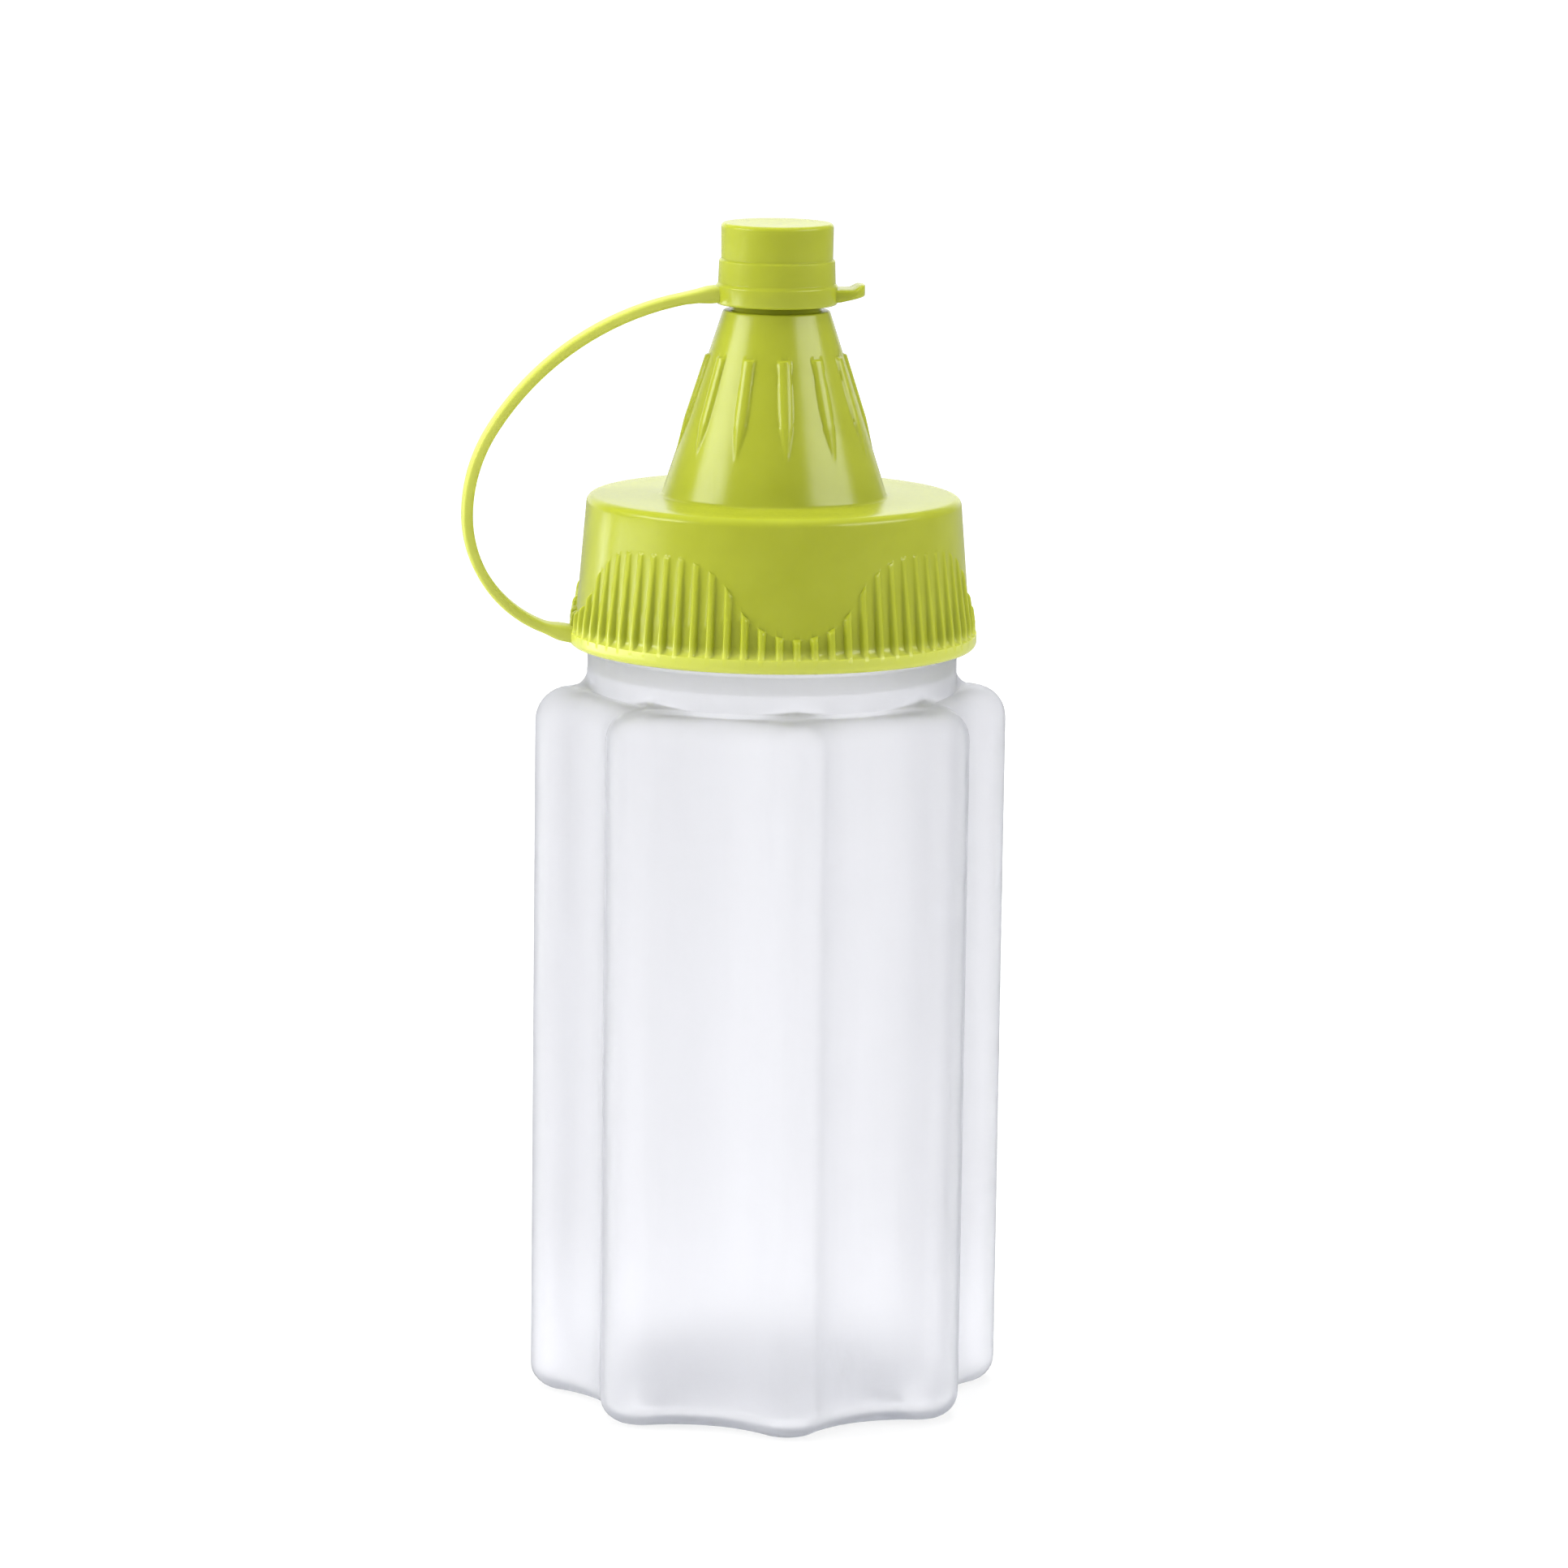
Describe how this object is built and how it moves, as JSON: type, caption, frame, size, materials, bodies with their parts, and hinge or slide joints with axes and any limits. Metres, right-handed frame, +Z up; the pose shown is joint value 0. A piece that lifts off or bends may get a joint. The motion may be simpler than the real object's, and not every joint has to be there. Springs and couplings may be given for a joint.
{
  "type": "condiment squeeze bottle",
  "caption": "Fluted translucent squeeze bottle with a ribbed screw lid, a conical pouring spout and a tip cap held by a flexible strap.",
  "frame": {"origin": "centre of the flat base, on the bottle's axis", "axes": "+Z up along the bottle's axis, -X towards the strap, -Y towards the front"},
  "size_m": [0.0653, 0.0564, 0.1408],
  "materials": {
    "clear_plastic": "translucent, satin",
    "lid_plastic": "glossy",
    "seal_foam": "matte",
    "strap_plastic": "glossy, flexible",
    "cap_plastic": "glossy"
  },
  "bodies": {
    "bottle_body": {"bottle": "clear_plastic"},
    "seal": {"lid_seal": "seal_foam"},
    "lid": {"screw_lid": "lid_plastic", "tether_strap": "strap_plastic"},
    "cap": {"tip_cap": "cap_plastic"}
  },
  "joints": [
    {"name": "lid_rise", "type": "slide", "parent": "bottle_body", "child": "seal", "axis": [0, 0, 1], "range_m": [0, 0.0051]},
    {"name": "lid_turn", "type": "hinge", "parent": "seal", "child": "lid", "pos_m": [0, 0, 0.0986], "axis": [0, 0, 1], "range_deg": [0, 450]},
    {"name": "cap_swing", "type": "hinge", "parent": "lid", "child": "cap", "pos_m": [-0.0273, 0, 0.1238], "axis": [0, -1, 0], "range_deg": [0, 150], "deforming": ["tether_strap"]}
  ],
  "couplings": [
    {"joint": "lid_rise", "follows": "lid_turn", "m_per_rad": 0.00063662}
  ]
}
